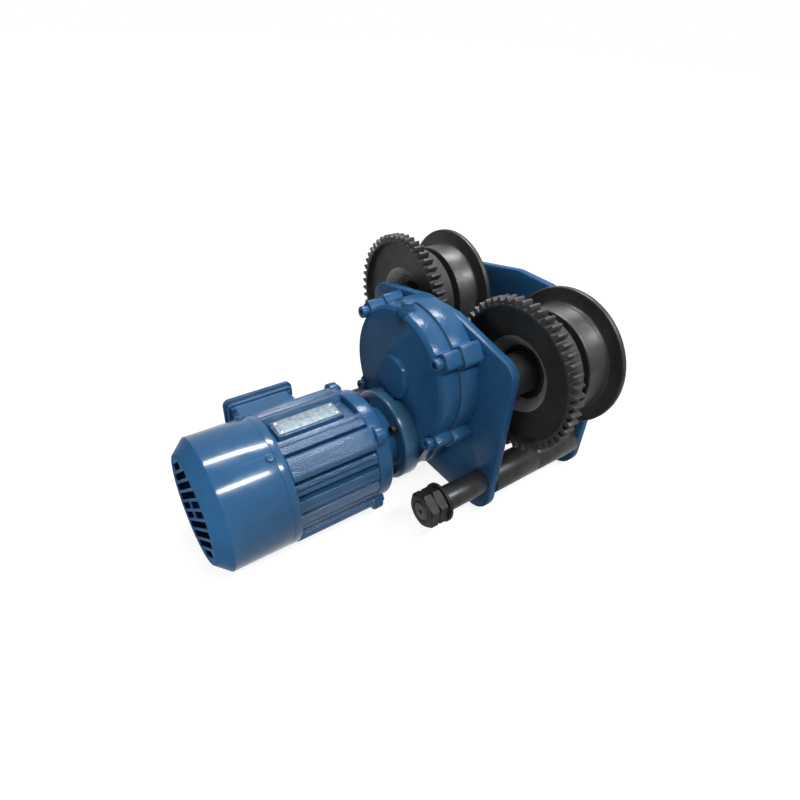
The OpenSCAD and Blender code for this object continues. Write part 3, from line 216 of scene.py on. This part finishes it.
def brushed_aluminium(name):
    """Anodised nameplate stock, brushed along its length, which blurs its reflection across.

    Its strokes are drawn 0.35 mm wide, several times as coarse as they are, so that they show."""
    made, tree, shader, place = new_finish(name, {
        "Metallic": 0.25, "Roughness": 0.6, "Specular IOR Level": 0.2,
    })
    along = add(tree, "ShaderNodeMapping", {
        "Vector": place, "Scale": (1 / (0.35 * MM), 1 / (14 * MM), 1.0),
    })
    strokes = add(tree, "ShaderNodeTexNoise", {
        "Vector": along.outputs["Vector"], "Scale": 1.0, "Detail": 2.0,
    })
    stains = add(tree, "ShaderNodeTexNoise", {"Vector": place, "Scale": 1 / (4 * MM), "Detail": 4.0})
    wear = add(tree, "ShaderNodeMath", {
        0: strokes.outputs["Fac"], 1: stains.outputs["Fac"],
    }, operation="MULTIPLY")
    wash = add(tree, "ShaderNodeMapRange", {
        "Value": wear.outputs[0], "From Min": 0.14, "From Max": 0.36,
    })
    sheen = add(tree, "ShaderNodeMix", {
        0: wash.outputs["Result"], 6: colour("#65727C"), 7: colour("#929FA9"),
    }, data_type="RGBA")
    tree.links.new(sheen.outputs[2], shader.inputs["Base Color"])
    relief = add(tree, "ShaderNodeBump", {
        "Height": strokes.outputs["Fac"], "Distance": 0.02 * MM, "Strength": 1.0,
    })
    tree.links.new(relief.outputs["Normal"], shader.inputs["Normal"])
    return made


def moulded(name, base, roughness):
    """Moulded rubber or plastic with the mould's fine grain, drawn 0.9 mm wide so that it shows."""
    made, tree, shader, place = new_finish(name, {"Base Color": colour(base)})
    grain = add(tree, "ShaderNodeTexNoise", {"Vector": place, "Scale": 1 / (0.9 * MM), "Detail": 2.0})
    gloss = add(tree, "ShaderNodeMapRange", {
        "Value": grain.outputs["Fac"], "From Min": 0.3, "From Max": 0.7,
        "To Min": roughness - 0.06, "To Max": roughness + 0.06,
    })
    tree.links.new(gloss.outputs["Result"], shader.inputs["Roughness"])
    relief = add(tree, "ShaderNodeBump", {
        "Height": grain.outputs["Fac"], "Distance": 0.03 * MM, "Strength": 1.0,
    })
    tree.links.new(relief.outputs["Normal"], shader.inputs["Normal"])
    return made


BLUES = ("#376B9A", "#30628F")
DARK_BLUES = ("#457699", "#396585")
# Pressed sheet: smooth and glossy, so the fan cover mirrors the ceiling strips as two streaks
sheet_enamel = machine_enamel(
    "blue_enamel_pressed_sheet", BLUES, (0.12, 0.14), 0.18, (3.0, 0.004), (26, 0.02)
)
# The cover's cone and slotted end: a thinner coat with hardly any gloss
cone_enamel = machine_enamel("blue_enamel_spun_cone", BLUES, (0.01, 0.0), 0.25, (3.0, 0.006), (26, 0.02))
grille_enamel = machine_enamel("blue_enamel_slotted_end", BLUES, (0.002, 0.0), 0.4, (3.0, 0.006), (26, 0.02))
# Sand castings: the grain breaks the gloss into glints, coarsely on the motor body
cast_enamel = machine_enamel("blue_enamel_rough_casting", BLUES, (0.22, 0.1), 0.16, (1.5, 1.1), (6, 0.2))
smooth_enamel = machine_enamel("blue_enamel_fine_casting", BLUES, (0.09, 0.04), 0.2, (2.0, 0.3), (9, 0.1))
adapter_enamel = machine_enamel("dark_enamel_casting", DARK_BLUES, (0.2, 0.12), 0.18, (2.0, 0.3), (7, 0.2))
# Turned and rolled faces: flat and satin, so they stay dark where they look away from the lamps
flat_enamel = machine_enamel("blue_enamel_turned_face", BLUES, (0.01, 0.0), 0.3, (2.6, 0.05), (14, 0.08))
plate_enamel = machine_enamel(
    "blue_enamel_rolled_plate", BLUES, (0.04, 0.01), 0.26, (2.6, 0.012), (22, 0.04)
)
# Phosphated castings: dull and nearly black
wheel_steel = blackened_steel("phosphated_wheel_steel", "#414140", "#343433", 0.42, 0.03)
# The palest of the steels, a painted highlight: a light ring round each bearing that stands in for the lit
# wall of its turned mouth
mouth_highlight_steel = blackened_steel("pale_mouth_painted_highlight", "#B4B4B4", "#929292", 0.34, 0.01)
# Rubbed teeth and rolled treads: a little paler and drier than the wheel
tooth_steel = blackened_steel("rubbed_tooth_steel", "#4B4B4B", "#3B3B3B", 0.5, 0.02)
tread_steel = blackened_steel("turned_tread_steel", "#515151", "#424242", 0.38, 0.01, 0.4)
# Turned bar: faint rings along it under the oil
shaft_steel = blackened_steel("turned_shaft_steel", "#434445", "#353637", 0.36, 0.012, 0.35)
# Black oxide: the darkest, with a dull shine on its corners
nut_steel = blackened_steel("black_oxide_nuts", "#1F1F20", "#171718", 0.5, 0.02)
# Oiled bearing rings, and the greasy shields set back in them
bearing_steel = blackened_steel("oiled_bearing_steel", "#3A3A3B", "#2C2C2D", 0.4, 0.01)
shield_steel = blackened_steel("greasy_bearing_shield", "#242425", "#1A1A1A", 0.45, 0.02)
# Zinc plate: bright pins, circlips and rivets
zinc = bare_metal("zinc_plated_steel", "#A9ACAF", 0.3)
# Inside the motor: grey core sheets and warm lacquered copper
lamination = bare_metal("core_lamination_steel", "#6F7276", 0.45)
copper = bare_metal("enamelled_copper", "#8E4B22", 0.35)
# Nameplate: a grey, stained sheet with fine strokes and no lettering
nameplate_metal = brushed_aluminium("brushed_nameplate_aluminium")
# Matt black seals; a fan behind the slots in blue-grey, far lighter than black nylon, as painted light that
# stands in for light in the shaded slots; and a brown terminal block
rubber = moulded("nitrile_rubber", "#141415", 0.6)
lightened_fan_plastic = moulded("blue_grey_fan_plastic_painted_light", "#3C5A76", 0.45)
phenolic = moulded("phenolic_brown", "#3B2A20", 0.4)

SLOT_FINISH = {
    "blue_enamel": sheet_enamel,
    "dark_enamel": adapter_enamel,
    "black_steel": wheel_steel,
    "black_screws": nut_steel,
    "bright_steel": zinc,
    "copper_windings": copper,
    "black_rubber": rubber,
    # black plastic is drawn a lighter blue-grey: painted light for the fan in the shaded slots
    "black_plastic": lightened_fan_plastic,
    "brown_plastic": phenolic,
    "plate_aluminium": nameplate_metal,
}
NODE_FINISH = {
    "motor_body": cast_enamel,
    "drive_end_shield": smooth_enamel,
    "rear_end_shield": smooth_enamel,
    "motor_tie_bolts": smooth_enamel,
    "terminal_box": smooth_enamel,
    "terminal_box_lid": smooth_enamel,
    "terminal_lid_screws": smooth_enamel,
    "gearbox_housing": smooth_enamel,
    "gearbox_cover": smooth_enamel,
    "gearbox_screws": smooth_enamel,
    "oil_plug": smooth_enamel,
    "oil_plug_washer": smooth_enamel,
    "drive_side_plate": plate_enamel,
    "idle_side_plate": plate_enamel,
    "front_load_shaft": shaft_steel,
    "rear_load_shaft": shaft_steel,
    "outer_spacer_pipes": shaft_steel,
    "inner_spacer_collars": shaft_steel,
    "load_shaft_nuts": nut_steel,
    "load_shaft_washers": nut_steel,
    "stator_core": lamination,
    "rotor_core": lamination,
}
for bearing in ("front_drive", "rear_drive", "front_idle", "rear_idle"):
    NODE_FINISH[bearing + "_bearing_outers"] = bearing_steel
NODE_FINISH["wheel_bearing_inner_rings"] = bearing_steel


def finish_of(node):
    """Finds a node's own finish, or else that of its slot."""
    return NODE_FINISH.get(node, SLOT_FINISH[SLOT_OF[node]])


def make_camera():
    """Stands where the photograph was taken, above the front of the motor."""
    lens = bpy.data.cameras.new("camera")
    lens.lens = 24.83
    lens.sensor_width = 36
    lens.clip_start = 0.01
    camera = bpy.data.objects.new("camera", lens)
    camera.location = (0.3839, -0.4050, 0.3419)
    camera.rotation_euler = [math.radians(a) for a in (54.304, -3.321, 54.276)]
    bpy.context.scene.collection.objects.link(camera)
    bpy.context.scene.camera = camera


def hang_lamp(name, place, aim, width, length, power, gloss_only=False):
    """Hangs a soft lamp whose length runs along Y as nearly as its aim allows.

    A gloss_only lamp shows in reflections and adds no light to the colours."""
    lamp = bpy.data.lights.new(name, "AREA")
    lamp.shape = "RECTANGLE"
    lamp.size = width
    lamp.size_y = length
    lamp.energy = power
    holder = bpy.data.objects.new(name, lamp)
    holder.location = place
    holder.visible_camera = False
    holder.visible_diffuse = not gloss_only
    down = (Vector(aim) - Vector(place)).normalized()
    along = (Vector((0, 1, 0)) - down * down.y).normalized()
    across = along.cross(-down)
    holder.rotation_euler = Matrix((across, along, -down)).transposed().to_euler()
    bpy.context.scene.collection.objects.link(holder)


def background_rays(tree):
    """Gives 1 for the rays that show the background: seen directly, mirrored, or through glass."""
    path = add(tree, "ShaderNodeLightPath", {})
    lit = add(tree, "ShaderNodeMath", {
        0: path.outputs["Is Camera Ray"], 1: path.outputs["Is Glossy Ray"],
    }, operation="MAXIMUM")
    seen = add(tree, "ShaderNodeMath", {
        0: lit.outputs[0], 1: path.outputs["Is Transmission Ray"],
    }, operation="MAXIMUM")
    return seen.outputs[0]


def make_floor():
    """Pale floor: white to the camera and in reflections, with the object's soft shadow on it.

    Its glow rises to full white away from the object, where the lamps no longer reach."""
    mesh = bpy.data.meshes.new("floor")
    floor = bpy.data.objects.new("floor", mesh)
    bpy.context.scene.collection.objects.link(floor)
    bm = bmesh.new()
    bmesh.ops.create_grid(bm, x_segments=1, y_segments=1, size=8)
    bmesh.ops.translate(bm, verts=bm.verts, vec=(0, 0, cad_box[0][2] - 0.3 * MM))
    bm.to_mesh(mesh)
    bm.free()
    made = bpy.data.materials.new("studio_floor")
    made.use_nodes = True
    tree = made.node_tree
    tree.nodes.remove(tree.nodes["Principled BSDF"])
    pale = add(tree, "ShaderNodeBsdfDiffuse", {"Color": colour("#909090")})
    shade = add(tree, "ShaderNodeBsdfDiffuse", {"Color": colour("#9C9C9C")})
    place = add(tree, "ShaderNodeTexCoord", {}).outputs["Object"]
    away = add(tree, "ShaderNodeVectorMath", {0: place}, operation="LENGTH")
    fade = add(tree, "ShaderNodeMapRange", {
        "Value": away.outputs["Value"], "From Min": 0.4, "From Max": 1.6, "To Min": 0.86, "To Max": 1.0,
    })
    glow = add(tree, "ShaderNodeEmission", {"Color": (1, 1, 1, 1), "Strength": fade.outputs["Result"]})
    white = add(tree, "ShaderNodeAddShader", {0: shade.outputs[0], 1: glow.outputs[0]})
    both = add(tree, "ShaderNodeMixShader", {
        0: background_rays(tree), 1: pale.outputs[0], 2: white.outputs[0],
    })
    tree.links.new(both.outputs[0], tree.nodes["Material Output"].inputs["Surface"])
    mesh.materials.append(made)


def make_surroundings():
    """White surroundings for the camera and for reflections, and a faint even light."""
    world = bpy.data.worlds.new("studio")
    bpy.context.scene.world = world
    world.use_nodes = True
    tree = world.node_tree
    strength = add(tree, "ShaderNodeMath", {0: background_rays(tree), 1: 0.1}, operation="MAXIMUM")
    tree.links.new(strength.outputs[0], tree.nodes["Background"].inputs["Strength"])
    tree.nodes["Background"].inputs["Color"].default_value = (1, 1, 1, 1)


def make_lamps():
    """Two ceiling strips along the motor, which its cover mirrors, a back light and a fill on the grille.

    The gleams lengthen and brighten the strips in reflections alone."""
    middle = (0, 0, 0)
    hang_lamp("left_strip", (-0.32, 0.07, 1.15), middle, width=0.14, length=0.85, power=8)
    hang_lamp("right_strip", (0.80, 0.07, 1.13), middle, width=0.14, length=0.85, power=9)
    hang_lamp("left_gleam", (-0.32, 0.09, 1.14), middle, width=0.16, length=0.95, power=40, gloss_only=True)
    hang_lamp("right_gleam", (0.80, 0.09, 1.12), middle, width=0.16, length=0.95, power=40, gloss_only=True)
    hang_lamp("back_key", (0.5, 1.2, 1.3), middle, width=1.0, length=0.6, power=3)
    hang_lamp("end_fill", (0.14, -0.54, 0.02), (0, -0.33, -0.06), width=0.2, length=0.2, power=0.35)


def link_piece(name, bm, finish, body, replaced=()):
    """Makes a finished piece from a bmesh in metres; it rides on a body and may stand for nodes."""
    mesh = bpy.data.meshes.new(name)
    bm.to_mesh(mesh)
    bm.free()
    mesh.polygons.foreach_set("use_smooth", [True] * len(mesh.polygons))
    mesh.set_sharp_from_angle(angle=math.radians(35))
    mesh.materials.append(finish)
    piece = bpy.data.objects.new(name, mesh)
    bpy.context.scene.collection.objects.link(piece)
    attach(piece, body)
    if replaced:
        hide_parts(*replaced)
    return piece


def dressed(node, edge_mm, limit=28, zones=(), reshape=None):
    """Copies a CAD node, joins its loose triangles and rounds its sharp edges.

    limit is the angle from which an edge counts as sharp. Each zone is a finish and a test on a face's
    middle, in mm, and its normal. reshape changes the joined copy."""
    bm = bmesh.new()
    bm.from_mesh(frame["nodes"][node].data)
    bmesh.ops.remove_doubles(bm, verts=bm.verts, dist=0.002 * MM)
    bmesh.ops.dissolve_limit(bm, angle_limit=math.radians(0.3), verts=bm.verts, edges=bm.edges)
    if reshape:
        reshape(bm)
    sharp = [
        edge for edge in bm.edges
        if len(edge.link_faces) == 2 and edge.calc_face_angle(0) > math.radians(limit)
    ]
    bmesh.ops.bevel(
        bm, geom=sharp, offset=edge_mm * MM, offset_type="OFFSET", segments=2,
        profile=0.5, affect="EDGES", clamp_overlap=False, material=-1,
    )
    bm.normal_update()
    for number, (finish, inside) in enumerate(zones, start=1):
        for face in bm.faces:
            if inside(face.calc_center_median() / MM, face.normal):
                face.material_index = number
    piece = link_piece(node + "_finish", bm, finish_of(node), BODY_OF[node], (node,))
    for finish, _ in zones:
        piece.data.materials.append(finish)


def on_tread(x):
    """Tests for the running surface of the wheel at x."""
    def inside(middle, normal):
        radius = math.hypot(middle.x - x, middle.z - AXLE_Z)
        return abs(normal.y) < 0.3 and TREAD_R - 2 < radius < TREAD_R + 0.5 and abs(middle.y) < 34

    return inside


def on_teeth(x):
    """Tests for the rubbed tips and flanks of the gear teeth on the wheel at x."""
    def inside(middle, normal):
        return math.hypot(middle.x - x, middle.z - AXLE_Z) > TOOTH_R and abs(normal.y) < 0.7

    return inside


def mouth_turner(x):
    """Turns the drive wheel's shallow mouth into a deep cone, down to the face of its bearing."""
    def radius(vert):
        return math.hypot(vert.co.x / MM - x, vert.co.z / MM - AXLE_Z)

    def reshape(bm):
        foot_y = 0.1 - BEARING_FACE_Y
        cone = [
            f for f in bm.faces
            if all(radius(v) < MOUTH_R + 0.1 and v.co.y < foot_y * MM for v in f.verts)
        ]
        bmesh.ops.delete(bm, geom=cone, context="FACES")
        bore = {f for f in bm.faces if all(radius(v) < BEARING_R + 1 and v.co.y < 0 for v in f.verts)}
        rims = {e for f in bore for e in f.edges}
        ends = {v for f in bore for v in f.verts}
        bmesh.ops.bisect_plane(
            bm, geom=list(bore) + list(rims) + list(ends), dist=1e-7,
            plane_co=(0, MOUTH_Y * MM, 0), plane_no=(0, -1, 0), clear_outer=True,
        )
        bmesh.ops.bridge_loops(bm, edges=[e for e in bm.edges if e.is_boundary])
        bmesh.ops.recalc_face_normals(bm, faces=bm.faces)

    return reshape


def on_mouth(x):
    """Tests for the turned cone round the bearing of the drive wheel at x, which takes the pale painted
    highlight.
    """
    def inside(middle, normal):
        radius = math.hypot(middle.x - x, middle.z - AXLE_Z)
        in_mouth = BEARING_R + 0.1 < radius < MOUTH_R - 0.05 and WEB_Y + 0.05 < middle.y < MOUTH_Y
        return in_mouth and abs(normal.y) > 0.3

    return inside


def on_grille(middle, normal):
    """Tests for the slotted end of the fan cover."""
    return middle.y < COVER_END_Y + 2.5


def faces_motor_end(middle, normal):
    """Tests for the faces that look along the motor, away from the beam."""
    return normal.y < -0.25


def spun(profile, x, z, steps=96):
    """Spins a closed profile of radius and y, in mm, about the axle at x and z."""
    bm = bmesh.new()
    verts = [bm.verts.new((r * MM, y * MM, 0)) for r, y in profile]
    edges = [bm.edges.new((verts[i - 1], verts[i])) for i in range(len(verts))]
    bmesh.ops.spin(
        bm, geom=verts + edges, cent=(0, 0, 0), axis=(0, 1, 0), dvec=(0, 0, 0),
        angle=math.tau, steps=steps, use_merge=True,
    )
    bmesh.ops.remove_doubles(bm, verts=bm.verts, dist=0.001 * MM)
    bmesh.ops.recalc_face_normals(bm, faces=bm.faces)
    bmesh.ops.translate(bm, verts=bm.verts, vec=(x * MM, 0, z * MM))
    return bm


def bearing_rings(name, x, side):
    """Outer rings of a wheel's two bearings, with pressed shields set back in their bores."""
    node = name + "_bearing_outers"
    y_in = side * (BEARING_FACE_Y - 2 * BEARING_W - 0.2)
    y_out = MOUTH_Y + 0.3 if side < 0 else BEARING_FACE_Y
    bore_r = 21.25
    shield_r = 24.3
    set_back = side * 0.9
    shield_back = side * 1.4
    corner = 0.5
    profile = [
        (bore_r, y_in + shield_back), (bore_r, y_in + set_back), (shield_r, y_in + set_back),
        (shield_r, y_in), (BEARING_R - corner, y_in), (BEARING_R, y_in + side * corner),
        (BEARING_R, y_out - side * corner), (BEARING_R - corner, y_out), (shield_r, y_out),
        (shield_r, y_out - set_back), (bore_r, y_out - set_back), (bore_r, y_out - shield_back),
    ]
    piece = link_piece(
        node + "_finish", spun(profile, x, AXLE_Z), bearing_steel, BODY_OF[node], (node,)
    )
    piece.data.materials.append(shield_steel)
    for face in piece.data.polygons:
        radius = math.hypot(face.center.x / MM - x, face.center.z / MM - AXLE_Z)
        if radius < shield_r - 0.1:
            face.material_index = 1


def motor_ribs():
    """Broad cast ribs along the motor body, set over the solid's fins so that narrow grooves stay."""
    low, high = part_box("motor_body")
    bm = bmesh.new()
    for angle, width, reach in (
        (-25.5, 12.5, 60), (-8.5, 13, 60), (8.5, 13, 60), (25.5, 11, 60),
        (64.5, 11.5, 61), (115.5, 11.5, 61),
        (154.5, 11, 60), (171.5, 13, 60), (188.5, 13, 60), (205.5, 12.5, 60),
    ):
        made = bmesh.ops.create_cube(bm, size=1.0)["verts"]
        bmesh.ops.scale(
            bm, verts=made, vec=((reach - RIB_FOOT_R) * MM, high[1] - low[1] - 1 * MM, width * MM)
        )
        bmesh.ops.translate(
            bm, verts=made, vec=((reach + RIB_FOOT_R) / 2 * MM, (low[1] + high[1]) / 2, 0)
        )
        bmesh.ops.rotate(
            bm, verts=made, cent=(0, 0, 0), matrix=Matrix.Rotation(math.radians(-angle), 3, "Y")
        )
    bmesh.ops.bevel(
        bm, geom=bm.edges[:], offset=1.1 * MM, offset_type="OFFSET", segments=3,
        profile=0.5, affect="EDGES", clamp_overlap=True, material=-1,
    )
    bmesh.ops.translate(bm, verts=bm.verts, vec=(0, 0, MOTOR_Z * MM))
    link_piece("motor_body_ribs", bm, cast_enamel, "frame")


def cover_skirt():
    """Front rim of the fan cover, slipped over the rear end shield as far as the motor body."""
    inner = COVER_R - 1.8
    front = BODY_BACK_Y - 0.3
    skirt = [
        (inner, COVER_Y), (COVER_R, COVER_Y), (COVER_R, front - 0.6),
        (COVER_R - 0.4, front), (inner + 0.4, front), (inner, front - 0.6),
    ]
    link_piece("fan_cover_skirt", spun(skirt, 0, MOTOR_Z), sheet_enamel, "frame")
    bore_r = 12.5
    back = COVER_Y - 8
    shield = [
        (bore_r, BODY_BACK_Y), (64.2, BODY_BACK_Y), (64.2, COVER_Y + 0.3), (63.4, COVER_Y),
        (63.4, back + 0.8), (62.4, back), (bore_r, back),
    ]
    link_piece(
        "rear_end_shield_finish", spun(shield, 0, MOTOR_Z), smooth_enamel, "frame",
        ("rear_end_shield",),
    )


def rivet(name, x, y, z):
    """Domed drive rivet of the nameplate."""
    bm = bmesh.new()
    bmesh.ops.create_uvsphere(bm, u_segments=20, v_segments=10, radius=1.5 * MM)
    bmesh.ops.bisect_plane(
        bm, geom=bm.verts[:] + bm.edges[:] + bm.faces[:], dist=1e-7,
        plane_co=(0, 0, 0), plane_no=(0, 0, 1), clear_inner=True,
    )
    rim = [edge for edge in bm.edges if edge.is_boundary]
    bmesh.ops.contextual_create(bm, geom=rim)
    bmesh.ops.scale(bm, verts=bm.verts, vec=(1, 1, 0.55))
    bmesh.ops.translate(bm, verts=bm.verts, vec=(x * MM, y * MM, z * MM))
    bmesh.ops.recalc_face_normals(bm, faces=bm.faces)
    link_piece(name, bm, zinc, "frame")


bpy.context.scene.view_settings.view_transform = "Standard"
make_camera()
make_floor()
make_surroundings()
make_lamps()

for node, piece in frame["nodes"].items():
    piece.data.materials.clear()
    piece.data.materials.append(finish_of(node))

# How far each solid's sharp edges are rounded
EDGES_MM = {
    "drive_side_plate": 1.4,
    "idle_side_plate": 1.4,
    "gearbox_housing": 1.0,
    "motor_adapter": 0.8,
    "drive_end_shield": 1.2,
    "motor_body": 0.8,
    "terminal_box": 1.0,
    "terminal_box_lid": 0.6,
    "oil_plug": 0.3,
    "gearbox_screws": 0.35,
    "adapter_screws": 0.25,
    "fan_cover_screws": 0.3,
    "motor_tie_bolts": 0.3,
    "terminal_lid_screws": 0.2,
    "load_shaft_washers": 0.3,
    "outer_spacer_pipes": 0.4,
    "inner_spacer_collars": 0.5,
    "front_load_shaft": 0.3,
    "rear_load_shaft": 0.3,
    "front_drive_axle": 0.4,
    "rear_drive_axle": 0.4,
    "front_idle_axle": 0.4,
    "rear_idle_axle": 0.4,
    "nameplate": 0.25,
    "cooling_fan": 0.3,
}
for node, edge in EDGES_MM.items():
    dressed(node, edge)
dressed("gearbox_cover", 1.0, zones=[(flat_enamel, faces_motor_end)])
dressed("fan_cover", 0.5, zones=[(cone_enamel, faces_motor_end), (grille_enamel, on_grille)])
for name, x in (("front", AXLE_X), ("rear", -AXLE_X)):
    # The mouth zone gets the pale steel of the painted highlight
    drive_zones = [(tread_steel, on_tread(x)), (tooth_steel, on_teeth(x)), (mouth_highlight_steel, on_mouth(x))]
    dressed(name + "_drive_wheel", 0.3, limit=32, zones=drive_zones, reshape=mouth_turner(x))
    dressed(name + "_idle_wheel", 0.6, limit=32, zones=[(tread_steel, on_tread(x))])
    bearing_rings(name + "_drive", x, -1)
    bearing_rings(name + "_idle", x, 1)
motor_ribs()
cover_skirt()
plate_low, plate_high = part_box("nameplate")
plate_middle = (Vector(plate_low) + Vector(plate_high)) / 2 / MM
RIVET_X = 7.2
RIVET_Y = 29.5
for number, (side, end) in enumerate(((-1, -1), (1, -1), (-1, 1), (1, 1)), start=1):
    rivet(
        f"nameplate_rivet_{number}",
        plate_middle.x + RIVET_X * side, plate_middle.y + RIVET_Y * end, plate_high[2] / MM - 0.1,
    )
